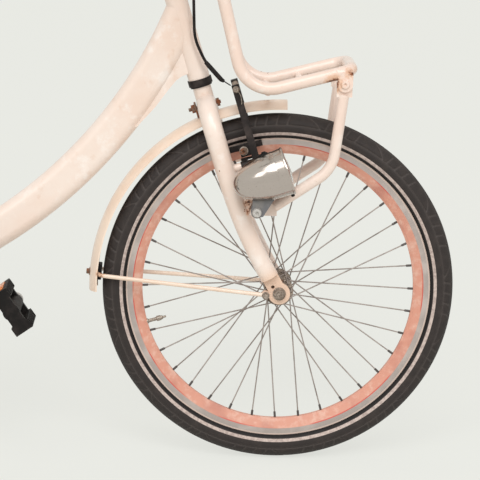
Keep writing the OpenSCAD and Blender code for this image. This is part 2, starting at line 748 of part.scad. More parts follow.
module brake_cable() {
    start = lever_at - 20.3 * grip_dir + lever_off;
    low = on_steer(374, 35.6, -33);
    color("black") {
        bent_tube([start, start - 60 * grip_dir, bar_c + [38, -120, 62], bar_c + [34, -36, 30],
            on_steer(head_top_s - 19, 29.3, -26), on_steer(head_s + 69, 12, -28), on_steer(head_s + 26, 18.5, -29),
            low], 2.5, [0, 26, 26, 26, 40, 80, 80, 0]);
        rod(low, low + (arm_fwd - arm_w / 2 - 0.9 - 35.6) * unit_x(on_steer(352.5, arm_fwd, -36.2) - low), 1);
    }
}

module front_carrier() {
    color("mistyrose") {
        f = carrier_front + [2, 0.5];
        k = carrier_knee;
        t = carrier_top;
        m = (carrier_front + carrier_knee) / 2;
        y = carrier_y;
        bent_tube([[t[0], -y, t[1]], [k[0], -y, k[1]], [f[0], -y, f[1]], [f[0], y, f[1]], [k[0], y, k[1]],
            [t[0], y, t[1]]], carrier_r, [0, 57, 24, 24, 57, 0]);
        across([m[0] + 6, 0, m[1] - 3], -y, y, 6);
        across([m[0] - 50, 0, m[1] - 16], -y, y, 6);
        for (side = [-1, 1]) {
            translate([carrier_tab[0], side > 0 ? 73 : -78, carrier_tab[1]]) rotate([-90, 0, 0]) {
                cylinder(h = 5, r = 13);
                translate([-12.9, -20, 0.1]) cube([25.8, 20, 4.8]);
            }
        }
    }
}

module carrier_legs() {
    color("mistyrose") for (side = [-1, 1]) {
        y = side * carrier_y;
        bent_tube([[98.7, y, 642], [83, y, 516], [-12, y, 452]], leg_r, 60);
        translate([carrier_tab[0] - 13.5, y - 4.8, carrier_tab[1] - 22]) cube([26, 9.6, 24]);
        translate([lug_x[0], side > 0 ? 63.3 : -73, 437]) cube([lug_x[1] - lug_x[0], 9.7, 20]);
    }
}

module carrier_clamps() {
    color("dimgray") for (side = [-1, 1]) difference() {
        union() {
            across(bar_c, side * carrier_y - 9, side * carrier_y + 9, 16);
            translate([bar_c[0], side * carrier_y - 9, bar_c[2] - 11]) cube([32, 18, 18]);
        }
        across(bar_c, -200, 200, bar_r + seat_gap);
        rod([carrier_knee[0], side * carrier_y, carrier_knee[1]], [carrier_top[0] - 12, side * carrier_y, carrier_top[1] + 47],
            carrier_r + seat_gap);
        translate([bar_c[0] + 28, side * carrier_y - 20, bar_c[2] - 40]) cube([60, 40, 80]);
    }
}

module lamp_axis() {
    translate(lamp_tail) rotate([0, -lamp_tilt, 0]) rotate([0, 90, 0]) children();
}

// A round tail, a long arc to the widest place and a rim that flares a little
lamp_r = 39;
lamp_len = 94;
lamp_wide = 73;
lamp_arc_r = 123;
lamp_round = 24.8;
lamp_meet = 13;
lamp_bore = 35.5;

module lamp_form(more = 0) {
    translate([0, 0, lamp_round]) sphere(lamp_round - nest + more);
    rotate_extrude($fn = 96) intersection() {
        translate([lamp_r - lamp_arc_r, lamp_wide]) circle(lamp_arc_r + more);
        translate([0, lamp_meet]) square([lamp_r + more, lamp_wide + 5 - lamp_meet]);
    }
    translate([0, 0, lamp_wide + 3]) cylinder(h = lamp_len - lamp_wide - 3, r1 = lamp_r - 0.4 + more, r2 = lamp_r + 1 + more);
}

module lamp_shell() {
    color("silver") lamp_axis() difference() {
        lamp_form();
        translate([0, 0, 62]) cylinder(h = 60, r = lamp_bore);
    }
}

module lamp_lens() {
    color("white") lamp_axis() rotate_extrude($fn = 96) intersection() {
        translate([0, 7]) circle(92);
        translate([0, 82]) square([lamp_bore - seat_gap, 30]);
    }
}

module lamp_bracket() {
    color("gray") difference() {
        union() {
            across([lamp_foot[0], 0, lamp_foot[1]], -lamp_y - 9, -73 - seat_gap, 9.5);
            translate([0, -lamp_y + 9, 0]) rotate([90, 0, 0]) linear_extrude(17.5)
                polygon([[-51, 452], [-48, 480], [-9, 480], [-32, 442.5], [-42, 440.5]]);
        }
        lamp_axis() lamp_form(seat_gap);
    }
}

module stem() {
    color("silver") {
        steer_frame(head_top_s - 30) cylinder(h = clamp_s - head_top_s + 36, r = 11);
        difference() {
            union() {
                rod(on_steer(clamp_s - 4), bar_c, 11);
                across(bar_c, -20, 20, 18);
            }
            across(bar_c, -40, 40, bar_r + seat_gap);
        }
        steer_frame(stem_s + 2 + seat_gap) cylinder(h = 8, r = 16);
    }
}

function bar_path(side) = [bar_c, bar_c + [0, side * 95, 0], bar_c + [-5, side * 165, bar_rise],
    bar_c + [-45, side * (bar_half - 20), bar_rise + 5], bar_c + [-190, side * bar_half, bar_rise - 15]];

module handlebar() {
    l = bar_path(1);
    r = bar_path(-1);
    color("silver") bent_tube([l[4], l[3], l[2], l[1], r[1], r[2], r[3], r[4]], bar_r, 40);
}

module grips() {
    color("black") for (side = [-1, 1]) {
        p = bar_path(side);
        d = unit(p[4] - p[3]);
        difference() {
            rod(p[4] - 105 * d, p[4] + 4 * d, 15.5);
            rod(p[4] - 120 * d, p[4] + seat_gap * d, bar_r + seat_gap);
        }
    }
}

module brake_lever() {
    a = lever_at;
    d = grip_dir;
    color("black") {
        difference() {
            union() {
                rod(a, a + 16 * d, 17);
                rod(a + 8 * d, a + 8 * d + lever_off, 6);
            }
            rod(a - 30 * d, a + 40 * d, bar_r + seat_gap);
        }
        rod(a + 14 * d + lever_off, a - 20 * d + lever_off, 6.5);
        rod(a + 8 * d + lever_off, a + 95 * d + lever_off + [6, -14, -10], 4.5);
    }
}

// Side stand

stand_axis = [0, cos(stand_splay), sin(stand_splay)];
stand_face = rear_drop_y + rear_drop_t + 10;
barrel_r = 12;
barrel_in = (stand_face + 2 * face_gap + barrel_r * sin(stand_splay) - stand_pivot[1]) / cos(stand_splay);

module stand_bracket() {
    color("dimgray") difference() {
        union() {
            translate([rear_hub[0] + 62, stand_face - 5, stand_pivot[2] - 10]) cube([32, 5, 58]);
            translate([rear_hub[0] + 62, 50, stand_pivot[2] + 24]) cube([32, stand_face - 50, 22]);
            rod(stand_pivot - 8 * stand_axis, stand_pivot + (barrel_in + 13) * stand_axis, 6);
        }
        chain_stay(1, seat_gap);
    }
}

module side_stand() {
    color("dimgray") {
        difference() {
            union() {
                rod(stand_pivot + barrel_in * stand_axis, stand_pivot + (barrel_in + 12) * stand_axis, barrel_r);
                rod(stand_pivot + (barrel_in + 6) * stand_axis, foot, 7.5);
            }
            rod(stand_pivot - 20 * stand_axis, stand_pivot + 30 * stand_axis, 6 + run_gap);
        }
        translate(foot) sphere(foot_r);
    }
}

parked() main_tube();
parked() head_tube();
parked() seat_tube();
parked() bracket_shell();
parked() chain_stays();
parked() seat_stays();
parked() rear_dropouts();
parked() headset_cups();
parked() rear_axle();
parked() seat_post();
parked() seat_clamp();
parked() saddle_rails();
parked() saddle();
parked() chain_case();
parked() rear_mudguard();
parked() rear_guard_stay();
parked() rear_carrier();
parked() rear_lamp();
parked() stand_bracket();
parked() fork();
parked() crown_race();
parked() front_axle();
parked() front_mudguard();
parked() front_guard_stay();
parked() guard_bracket();
parked() brake_arms();
parked() brake_cable();
parked() front_carrier();
parked() carrier_legs();
parked() carrier_clamps();
parked() lamp_shell();
parked() lamp_lens();
parked() lamp_bracket();
parked() stem();
parked() handlebar();
parked() grips();
parked() brake_lever();
parked() front_tyre();
parked() front_rim();
parked() front_spokes();
parked() front_hub_shell();
parked() rear_tyre();
parked() rear_rim();
parked() rear_spokes();
parked() rear_hub_shell();
parked() crank_set();
parked() pedal_right();
parked() pedal_left();
parked() side_stand();
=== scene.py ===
"""Looks of a kids bicycle with a tube carrier over its front wheel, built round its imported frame.

Pieces are drawn in the bicycle's own upright frame: millimetres, X forward from the front hub, Y to the
left, Z above the ground. PARK leans that frame onto the side stand and turns it into metres.
"""
import math

import bmesh
import bpy
import numpy as np
from mathutils import Matrix, Vector


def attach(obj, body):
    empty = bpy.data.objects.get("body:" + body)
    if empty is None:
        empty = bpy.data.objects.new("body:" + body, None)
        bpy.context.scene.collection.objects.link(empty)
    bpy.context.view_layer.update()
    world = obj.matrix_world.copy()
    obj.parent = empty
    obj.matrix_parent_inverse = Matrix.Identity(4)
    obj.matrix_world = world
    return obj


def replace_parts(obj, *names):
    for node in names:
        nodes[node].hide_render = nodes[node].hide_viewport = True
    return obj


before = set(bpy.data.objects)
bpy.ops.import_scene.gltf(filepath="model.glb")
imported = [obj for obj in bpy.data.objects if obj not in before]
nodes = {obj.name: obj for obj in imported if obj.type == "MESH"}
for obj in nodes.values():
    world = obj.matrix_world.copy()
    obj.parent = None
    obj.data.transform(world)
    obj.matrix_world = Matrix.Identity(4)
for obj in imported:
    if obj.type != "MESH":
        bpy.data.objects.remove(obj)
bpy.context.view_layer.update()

# Main sizes of the bicycle, mm
TYRE_R, SECTION_R = 300.0, 23.0
WHEELBASE = 1014.0
CRANK = 146.0
FORK_RAKE = 28.8
FRONT_HUB = Vector((0, 0, TYRE_R))
REAR_HUB = Vector((-WHEELBASE, 0, TYRE_R))
BRACKET = Vector((-589, 0, 287))
STEER_TILT = math.radians(17.2)
STEER_UP = Vector((-math.sin(STEER_TILT), 0, math.cos(STEER_TILT)))
STEER_FWD = Vector((math.cos(STEER_TILT), 0, math.sin(STEER_TILT)))
STEER_BASE = FRONT_HUB - FORK_RAKE * STEER_FWD
LAMP_TAIL = Vector((-81, -104, 487.6))
LAMP_TILT = math.radians(19.5)
LAMP_DIR = Vector((math.cos(LAMP_TILT), 0, math.sin(LAMP_TILT)))
LAMP_UP = Vector((-math.sin(LAMP_TILT), 0, math.cos(LAMP_TILT)))
ACROSS = Vector((0, 1, 0))

# Lean onto the stand; SHIFT is in metres
LEAN = math.radians(6.5)
LIFT = SECTION_R * (1 - math.cos(LEAN))
SHIFT = Vector((0.517, -0.1067, LIFT / 1000))
PARK = Matrix.Translation(SHIFT) @ Matrix.Rotation(-LEAN, 4, "X") @ Matrix.Scale(0.001, 4)


def on_steer(s, fwd=0.0, y=0.0):
    """Point at height s along the steering axis, fwd ahead of it and y to the left."""
    return STEER_BASE + s * STEER_UP + fwd * STEER_FWD + Vector((0, y, 0))


def on_lamp(t, up=0.0):
    """Point at length t along the lamp's axis from its tail, and up above the axis."""
    return LAMP_TAIL + t * LAMP_DIR + up * LAMP_UP


def round_hub(hub, radius, degrees, y=0.0):
    """Point on a circle about a hub; 0 degrees is ahead and 90 above."""
    a = math.radians(degrees)
    return hub + Vector((radius * math.cos(a), y, radius * math.sin(a)))


class Shape:
    """A mesh in the making, in the bicycle's frame."""

    def __init__(self):
        self.verts, self.faces = [], []

    def add(self, verts, faces):
        base = len(self.verts)
        self.verts += [Vector(v) for v in verts]
        self.faces += [[base + i for i in f] for f in faces]
        return self

    def turned(self, centre, axis, profile, sides=24):
        """Turns (radius, height) points about the axis through centre; a radius of 0 closes an end."""
        centre, axis = Vector(centre), Vector(axis).normalized()
        u = axis.orthogonal().normalized()
        w = axis.cross(u)
        turn = [2 * math.pi * i / sides for i in range(sides)]
        verts, rows, faces = [], [], []
        for r, h in profile:
            base = centre + axis * h
            if r == 0:
                rows.append([len(verts)] * sides)
                verts.append(base)
            else:
                rows.append(list(range(len(verts), len(verts) + sides)))
                verts += [base + r * (u * math.cos(t) + w * math.sin(t)) for t in turn]
        for lo, hi in zip(rows, rows[1:]):
            for i in range(sides):
                j = (i + 1) % sides
                faces.append(list(dict.fromkeys([lo[i], lo[j], hi[j], hi[i]])))
        return self.add(verts, faces)

    def tube(self, path, radius, sides=10):
        """Round bar along a path; radius is one number, or a list with one for each point."""
        path = [Vector(p) for p in path]
        last = len(path) - 1
        u, verts, faces = None, [], []
        for i, p in enumerate(path):
            t = (path[min(i + 1, last)] - path[max(i - 1, 0)]).normalized()
            u = t.orthogonal() if u is None else u - t * u.dot(t)
            u.normalize()
            w = t.cross(u)
            r = radius[i] if isinstance(radius, list) else radius
            for k in range(sides):
                a = 2 * math.pi * k / sides
                verts.append(p + r * (u * math.cos(a) + w * math.sin(a)))
        for i in range(last):
            for k in range(sides):
                m = (k + 1) % sides
                faces.append([i * sides + k, i * sides + m, (i + 1) * sides + m, (i + 1) * sides + k])
        faces += [list(range(sides)), list(range(last * sides, (last + 1) * sides))]
        return self.add(verts, faces)

    def block(self, centre, size, bevel, turn):
        """Box with rounded edges; turn is the rotation of its axes."""
        bm = bmesh.new()
        bmesh.ops.create_cube(bm, size=1)
        bmesh.ops.scale(bm, vec=Vector(size), verts=bm.verts)
        bmesh.ops.bevel(bm, geom=bm.edges[:], offset=bevel, segments=2, profile=0.5, affect="EDGES")
        place = Matrix.Translation(Vector(centre)) @ turn.to_4x4()
        bmesh.ops.transform(bm, matrix=place, verts=bm.verts)
        bm.verts.index_update()
        self.add([v.co.copy() for v in bm.verts], [[v.index for v in f.verts] for f in bm.faces])
        bm.free()
        return self

    def bolt(self, centre, axis, across_flats, height, washer):
        """Hexagon head with a chamfered top, on a washer of the given radius."""
        r = across_flats / math.sqrt(3)
        thick, low = 1.2, 1.0
        self.turned(centre, axis, [(0, 0), (washer, 0), (washer, thick), (0, thick)], 28)
        head = [(0, low), (r, low), (r, low + height * 0.8), (r * 0.88, low + height), (0, low + height)]
        return self.turned(centre, axis, head, 6)

    def screw(self, centre, axis, radius, height):
        """Round head with a sunk socket."""
        dome = [(0, 0), (radius, 0), (radius, height * 0.45), (radius * 0.86, height * 0.85),
                (radius * 0.5, height), (radius * 0.34, height * 0.96), (radius * 0.26, height * 0.45),
                (0, height * 0.45)]
        return self.turned(centre, axis, dome, 28)

    def make(self, name, material, body, slot, sharp=40):
        """Makes the piece, parked and with its faces turned outwards."""
        mesh = bpy.data.meshes.new(name)
        mesh.from_pydata([PARK @ v for v in self.verts], [], self.faces)
        bm = bmesh.new()
        bm.from_mesh(mesh)
        bmesh.ops.recalc_face_normals(bm, faces=bm.faces)
        bm.to_mesh(mesh)
        bm.free()
        return finished(name, mesh, material, body, sharp)


def linked(name, data):
    """New object in the scene."""
    obj = bpy.data.objects.new(name, data)
    bpy.context.scene.collection.objects.link(obj)
    return obj


def finished(name, mesh, material, body, sharp):
    """Turns a parked mesh into a piece that rides on its body; edges over sharp degrees stay sharp."""
    mesh.polygons.foreach_set("use_smooth", [True] * len(mesh.polygons))
    mesh.set_sharp_from_angle(angle=math.radians(sharp))
    mesh.materials.append(material)
    obj = linked(name, mesh)
    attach(obj, body)
    return obj


# Materials

def srgb(r, g, b):
    """Linear colour of an 8-bit display colour."""
    def linear(c):
        c /= 255
        return c / 12.92 if c <= 0.04045 else ((c + 0.055) / 1.055) ** 2.4
    return (linear(r), linear(g), linear(b), 1.0)


class Graph:
    """A Principled material and short names for the nodes that feed it."""

    def __init__(self, name, **sockets):
        self.mat = bpy.data.materials.new(name)
        self.mat.use_nodes = True
        self.tree = self.mat.node_tree
        self.bsdf = self.tree.nodes["Principled BSDF"]
        for key, value in sockets.items():
            self.set(key.replace("_", " ").title().replace("Ior", "IOR"), value)

    def set(self, socket, value):
        self.feed(self.bsdf.inputs[socket], value)

    def feed(self, socket, value):
        if isinstance(value, bpy.types.NodeSocket):
            self.tree.links.new(value, socket)
        else:
            socket.default_value = value

    def add(self, kind, inputs, **props):
        node = self.tree.nodes.new("ShaderNode" + kind)
        for key, value in props.items():
            setattr(node, key, value)
        for key, value in inputs.items():
            self.feed(node.inputs[key], value)
        return node

    def place(self, origin=(0, 0, 0)):
        """Coordinates in the bicycle's frame, in mm, measured from origin."""
        coords = self.tree.nodes.new("ShaderNodeTexCoord").outputs["Object"]
        parked = {"Vector": coords, "Location": PARK @ Vector(origin),
                  "Rotation": (-LEAN, 0, 0), "Scale": (0.001,) * 3}
        return self.add("Mapping", parked, vector_type="TEXTURE").outputs[0]

    def polar(self, hub):
        """(distance from the hub's axis, coordinates from the hub) in mm."""
        at = self.place(hub)
        xyz = self.add("SeparateXYZ", {0: at}).outputs
        flat = self.add("CombineXYZ", {0: xyz[0], 2: xyz[2]}).outputs[0]
        radius = self.add("VectorMath", {0: flat}, operation="LENGTH").outputs["Value"]
        return radius, at

    def distance(self, at, point):
        return self.add("VectorMath", {0: at, 1: point}, operation="DISTANCE").outputs["Value"]

    def maths(self, operation, a, b=0.0):
        return self.add("Math", {0: a, 1: b}, operation=operation).outputs[0]

    def noise(self, at, size, detail=3.0, rough=0.55):
        """Noise whose patches are about size mm."""
        node = self.add("TexNoise", {"Vector": at, "Scale": 1 / size, "Detail": detail, "Roughness": rough})
        return node.outputs[0]

    def cells(self, at, size):
        """Distance from the middle of cells about size mm wide."""
        return self.add("TexVoronoi", {"Vector": at, "Scale": 1 / size}).outputs["Distance"]

    def span(self, value, lo, hi):
        """0 below lo, 1 above hi and smooth between; turned round where lo is above hi."""
        node = self.add("MapRange", {"Value": value, "From Min": lo, "From Max": hi})
        node.interpolation_type = "SMOOTHSTEP"
        return node.outputs[0]

    def band(self, value, lo, hi, soft):
        """1 from lo to hi, with soft edges outside them."""
        return self.maths("MULTIPLY", self.span(value, lo - soft, lo), self.span(value, hi + soft, hi))

    def mix(self, share, a, b):
        """Colour a, or b where share is 1."""
        node = self.add("Mix", {0: share, 6: a, 7: b}, data_type="RGBA")
        return node.outputs[2]

    def value(self, share, a, b):
        """Number a, or b where share is 1."""
        node = self.add("MapRange", {"Value": share, "To Min": a, "To Max": b})
        return node.outputs[0]

    def bump(self, height, distance, strength, under=None):
        """Normal of a relief distance mm high, on top of another where one is given."""
        node = self.add("Bump", {"Height": height, "Distance": distance / 1000, "Strength": strength})
        if under is not None:
            self.feed(node.inputs["Normal"], under)
        return node.outputs[0]


RUST_DARK, RUST_LIGHT, RUST_HALO = srgb(84, 50, 36), srgb(168, 102, 62), srgb(214, 152, 100)
PAINT_STAIN, PAINT_SOIL = srgb(206, 160, 122), srgb(226, 190, 163)

# Distances from the hub at which the wheels' finishes change, mm, including the rim edge's painted
# highlight and the tyre's painted shadow next to the rim: start and end of each change or band
PINK_EDGE = (247.0, 248.5)
TRACK_STARTS = (248.3, 248.9)
TRACK_EDGE_HIGHLIGHT = (257.0, 258.0)
TYRE_GAP_SHADOW = (264.5, 263.5)
STRIPE = (265.6, 270.4)
NIPPLES = (221, 223)


def paint(name, tone, worn, pale, patches, chip_at=0.69, soiled=None):
    """Old gloss paint: yellowed in clouds, paler where it is rubbed, with rust in chips and patches.

    patches are x, y, z and radius in mm, chip_at is the noise level above which the paint has chipped, and
    soiled is the point round which the paint has turned tan.
    """
    g = Graph(name, coat_weight=0.5, coat_roughness=0.1, specular_ior_level=0.45)
    at = g.place()
    cloud, grain = g.noise(at, 120, 4), g.noise(at, 3.5, 3)
    rubbed = g.span(g.noise(at, 34, 5, 0.65), 0.52, 0.72)
    colour = g.mix(g.span(cloud, 0.36, 0.66), tone, worn)
    colour = g.mix(g.maths("MULTIPLY", rubbed, 0.7), colour, pale)
    chips = g.maths("MULTIPLY", g.span(g.noise(at, 9, 2), chip_at, chip_at + 0.03),
                    g.span(g.noise(at, 85, 1), 0.5, 0.6))
    ragged = g.maths("MULTIPLY", g.maths("SUBTRACT", g.noise(at, 4.5, 5, 0.65), 0.5), 24)
    if soiled:
        near = g.span(g.distance(at, soiled), 58, 30)
        colour = g.mix(g.maths("MULTIPLY", near, 0.8), colour, PAINT_SOIL)
    rust, halo = chips, g.maths("MULTIPLY", chips, 0.4)
    for x, y, z, r in patches:
        edge = g.maths("ADD", g.distance(at, (x, y, z)), ragged)
        rust = g.maths("MAXIMUM", rust, g.span(edge, r, r * 0.6))
        halo = g.maths("MAXIMUM", halo, g.maths("MULTIPLY", g.span(edge, r * 2.0, r), 0.55))
    colour = g.mix(halo, colour, RUST_HALO)
    stain = g.maths("MULTIPLY", g.span(g.noise(at, 22, 4), 0.6, 0.75), 0.22)
    colour = g.mix(stain, colour, PAINT_STAIN)
    colour = g.mix(rust, colour, g.mix(g.span(g.noise(at, 4, 4), 0.35, 0.65), RUST_DARK, RUST_LIGHT))
    g.set("Base Color", colour)
    g.set("Roughness", g.value(g.maths("MAXIMUM", rust, g.maths("MULTIPLY", grain, 0.2)), 0.3, 0.85))
    skin = g.bump(grain, 0.05, 0.35)
    g.set("Normal", g.bump(rust, -0.4, 0.6, skin))
    return g.mat


def metal(name, tone, stain, roughness, rust, soil=None):
    """Metal with stains; rust is the noise level above which it has rusted, soil the colour of its dirt."""
    g = Graph(name)
    at = g.place()
    grain, cloud = g.noise(at, 2.2, 4), g.noise(at, 11, 4)
    rusted = g.span(cloud, rust, rust + 0.1)
    colour = g.mix(g.span(grain, 0.35, 0.7), tone, stain)
    if soil:
        colour = g.mix(g.span(g.noise(at, 30, 4), 0.45, 0.7), colour, soil)
    colour = g.mix(rusted, colour, g.mix(grain, RUST_DARK, RUST_LIGHT))
    dull = g.maths("MAXIMUM", rusted, g.maths("MULTIPLY", grain, 0.5))
    g.set("Base Color", colour)
    g.set("Metallic", g.value(rusted, 0.5, 0.05))
    g.set("Roughness", g.value(dull, roughness, 0.85))
    g.set("Normal", g.bump(grain, 0.12, 0.3))
    return g.mat


def moulded(name, tone, dusty, roughness, grain_mm=1.4, depth=0.06):
    """Black or grey plastic and painted parts, dusty in clouds, with a moulded grain."""
    g = Graph(name, specular_ior_level=0.2)
    at = g.place()
    dust = g.span(g.noise(at, 26, 5, 0.65), 0.42, 0.72)
    grain = g.noise(at, grain_mm, 2)
    dull = g.maths("ADD", g.maths("MULTIPLY", dust, 0.6), g.maths("MULTIPLY", grain, 0.4))
    g.set("Base Color", g.mix(dust, tone, dusty))
    g.set("Roughness", g.value(dull, roughness, roughness + 0.25))
    g.set("Normal", g.bump(grain, depth, 0.5))
    return g.mat


def rim_finish(name, hub):
    """Salmon paint on the rim's body, bare machined brake tracks at its edge, with a painted highlight
    along the track's outer edge.
    """
    g = Graph(name, specular_ior_level=0.4)
    radius, at = g.polar(hub)
    track = g.span(radius, *TRACK_STARTS)
    wear = g.span(g.noise(at, 14, 5, 0.65), 0.44, 0.7)
    pink = g.mix(wear, srgb(214, 152, 131), srgb(224, 178, 159))
    pink = g.mix(g.span(g.noise(at, 60, 3), 0.5, 0.72), pink, srgb(196, 134, 117))
    edge = g.maths("MULTIPLY", g.band(radius, *PINK_EDGE, 0.3), g.span(g.noise(at, 90, 2), 0.44, 0.56))
    pink = g.mix(edge, pink, srgb(205, 92, 80))
    lines = g.maths("SINE", g.maths("MULTIPLY", radius, 3.4))
    smear = g.noise(at, 40, 4)
    bare = g.mix(g.span(lines, -0.9, 0.9), srgb(168, 156, 150), srgb(184, 173, 167))
    bare = g.mix(g.span(smear, 0.42, 0.72), bare, srgb(198, 186, 179))
    # painted highlight: the brake track turns pale at its outer edge
    bare = g.mix(g.span(radius, *TRACK_EDGE_HIGHLIGHT), bare, srgb(220, 198, 186))
    g.set("Base Color", g.mix(track, pink, bare))
    g.set("Metallic", g.maths("MULTIPLY", track, 0.4))
    g.set("Roughness", g.value(track, 0.52, 0.34))
    g.set("Normal", g.bump(g.maths("MULTIPLY", lines, track), 0.06, 0.3))
    return g.mat


def tyre_finish(name, hub):
    """Dark rubber, dusty in its grooves, with a pale reflecting stripe round each side wall and painted
    shadow where it meets the rim.
    """
    g = Graph(name, specular_ior_level=0.3)
    radius, at = g.polar(hub)
    groove = g.add("Attribute", {}, attribute_name="groove").outputs["Fac"]
    dust = g.span(g.noise(at, 18, 5, 0.65), 0.4, 0.75)
    rubber = g.mix(dust, srgb(46, 40, 38), srgb(60, 53, 50))
    # painted shadow: the rubber turns near black next to the rim's edge
    rubber = g.mix(g.span(radius, *TYRE_GAP_SHADOW), rubber, srgb(26, 23, 23))
    rubber = g.mix(g.maths("MULTIPLY", groove, 0.85), rubber, srgb(76, 69, 66))
    stripe = g.band(radius, *STRIPE, 0.35)
    worn = g.mix(g.span(g.noise(at, 5, 4), 0.35, 0.7), srgb(203, 186, 177), srgb(168, 151, 144))
    g.set("Base Color", g.mix(stripe, rubber, worn))
    g.set("Roughness", g.value(dust, 0.62, 0.8))
    g.set("Normal", g.bump(g.noise(at, 1.6, 3), 0.12, 0.4))
    return g.mat


def spoke_finish(name, hub):
    """Dull steel wire; the nipples at the rim are darker."""
    g = Graph(name, metallic=0.4)
    radius, at = g.polar(hub)
    dull = g.mix(g.span(g.noise(at, 25, 4), 0.4, 0.7), srgb(168, 158, 152), srgb(134, 123, 117))
    g.set("Base Color", g.mix(g.span(radius, *NIPPLES), dull, srgb(84, 78, 76)))
    g.set("Roughness", g.value(g.noise(at, 6, 3), 0.38, 0.6))
    return g.mat


def lens_finish(name, tone, transmission, roughness):
    """Clear or coloured lens with a pattern of small cells."""
    g = Graph(name, base_color=tone, transmission_weight=transmission, ior=1.5)
    at = g.place()
    g.set("Roughness", g.value(g.noise(at, 9, 4), roughness, roughness + 0.15))
    g.set("Normal", g.bump(g.cells(at, 5.0), 0.4, 0.35))
    return g.mat


def leather(name):
    """Black saddle cover with a pebbled grain, greyed where it is rubbed."""
    g = Graph(name, specular_ior_level=0.4)
    at = g.place()
    pebble = g.cells(at, 2.2)
    rubbed = g.span(g.noise(at, 55, 4), 0.45, 0.72)
    g.set("Base Color", g.mix(rubbed, srgb(33, 30, 29), srgb(58, 53, 50)))
    g.set("Roughness", g.value(rubbed, 0.62, 0.42))
    g.set("Normal", g.bump(pebble, 0.35, 0.5))
    return g.mat


def chrome_finish(name):
    """Plating with fine pits and a little haze."""
    g = Graph(name, metallic=1.0)
    at = g.place()
    pits = g.span(g.noise(at, 1.5, 2), 0.66, 0.74)
    haze = g.maths("MAXIMUM", pits, g.span(g.noise(at, 20, 4), 0.5, 0.8))
    g.set("Base Color", g.mix(pits, srgb(190, 180, 173), srgb(120, 102, 90)))
    g.set("Roughness", g.value(haze, 0.16, 0.3))
    return g.mat


# Rust patches: x, y, z and radius, mm
FORK_RUST = [(-55, -65, 457, 5), (-51, -66, 443, 5)]
CARRIER_RUST = [(126, -66, 686, 8), (110, -78, 680, 7), (82, -74, 661, 11),
                (124, 68, 685, 7), (-88, -70, 735, 3), (-48, -72, 452, 4)]
GUARD_RUST = [(-150, -60, 299, 3), (-301, -26, 322, 6)]
FORK_END = (0, -62, 300)

CREAM = paint("cream_paint", srgb(240, 223, 211), srgb(236, 212, 196), srgb(247, 237, 229),
              FORK_RUST, chip_at=0.75, soiled=FORK_END)
CARRIER = paint("carrier_paint", srgb(239, 219, 206), srgb(235, 210, 195), srgb(246, 234, 224),
                CARRIER_RUST)
GUARD = paint("guard_paint", srgb(240, 219, 200), srgb(233, 206, 184), srgb(243, 226, 211),
              GUARD_RUST, chip_at=0.76)
FRONT_RIM, REAR_RIM = rim_finish("front_rim_paint", FRONT_HUB), rim_finish("rear_rim_paint", REAR_HUB)
FRONT_RUBBER, REAR_RUBBER = tyre_finish("front_rubber", FRONT_HUB), tyre_finish("rear_rubber", REAR_HUB)
FRONT_WIRE, REAR_WIRE = spoke_finish("front_wire", FRONT_HUB), spoke_finish("rear_wire", REAR_HUB)
STEEL = metal("worn_steel", srgb(176, 164, 152), srgb(120, 106, 94), 0.38, 0.6)
HUB_STEEL = metal("hub_steel", srgb(176, 162, 149), srgb(108, 95, 85), 0.4, 0.64, srgb(112, 97, 84))
ALLOY = metal("bright_alloy", srgb(206, 202, 197), srgb(170, 165, 160), 0.28, 0.9)
RUSTY = metal("rusty_steel", srgb(132, 110, 95), srgb(96, 72, 58), 0.5, 0.47)
BLACK = moulded("black_metal", srgb(34, 29, 28), srgb(64, 56, 53), 0.42)
PLASTIC = moulded("black_plastic", srgb(20, 17, 16), srgb(44, 38, 36), 0.5)
GRIP = moulded("grip_rubber", srgb(33, 31, 31), srgb(60, 57, 55), 0.72, 0.9, 0.1)
GREY = moulded("grey_plastic", srgb(112, 112, 114), srgb(138, 134, 130), 0.45)
CHROME = chrome_finish("chrome")
GLASS = lens_finish("lamp_glass", srgb(244, 244, 240), 0.75, 0.06)
RED = lens_finish("red_lens", srgb(168, 14, 16), 0.25, 0.12)
AMBER = lens_finish("amber_reflector", srgb(236, 128, 22), 0.2, 0.14)
COVER = leather("saddle_cover")

NODE_FINISH = [
    (CREAM, "main_tube head_tube seat_tube bracket_shell chain_stays seat_stays rear_dropouts fork"),
    (CARRIER, "front_carrier carrier_legs"),
    (GUARD, "front_mudguard rear_mudguard front_guard_stay rear_guard_stay"),
    (FRONT_RIM, "front_rim"),
    (REAR_RIM, "rear_rim"),
    (FRONT_WIRE, "front_spokes"),
    (REAR_WIRE, "rear_spokes"),
    (FRONT_RUBBER, "front_tyre"),
    (REAR_RUBBER, "rear_tyre"),
    (HUB_STEEL, "front_hub_shell rear_hub_shell front_axle"),
    (STEEL, "rear_axle seat_clamp saddle_rails side_stand stand_bracket carrier_clamps"),
    (ALLOY, "seat_post stem handlebar crank_set"),
    (RUSTY, "guard_bracket"),
    (BLACK, "headset_cups crown_race brake_arms brake_lever rear_carrier"),
    (PLASTIC, "chain_case brake_cable pedal_right pedal_left"),
    (GRIP, "grips"),
    (CHROME, "lamp_shell"),
    (GLASS, "lamp_lens"),
    (GREY, "lamp_bracket"),
    (RED, "rear_lamp"),
    (COVER, "saddle"),
]
for finish, names in NODE_FINISH:
    for node_name in names.split():
        node_mesh = nodes[node_name].data
        node_mesh.materials.clear()
        node_mesh.materials.append(finish)


# Tyres

TREAD_EDGE = math.radians(75)
TREAD_DEPTH = 1.5
MOTIF = 2 * math.pi * TYRE_R / 15
TYRE_STEPS = 1260
BEAD = [(259.9, 12.6), (260.1, 10.4), (255.5, 9.8)]


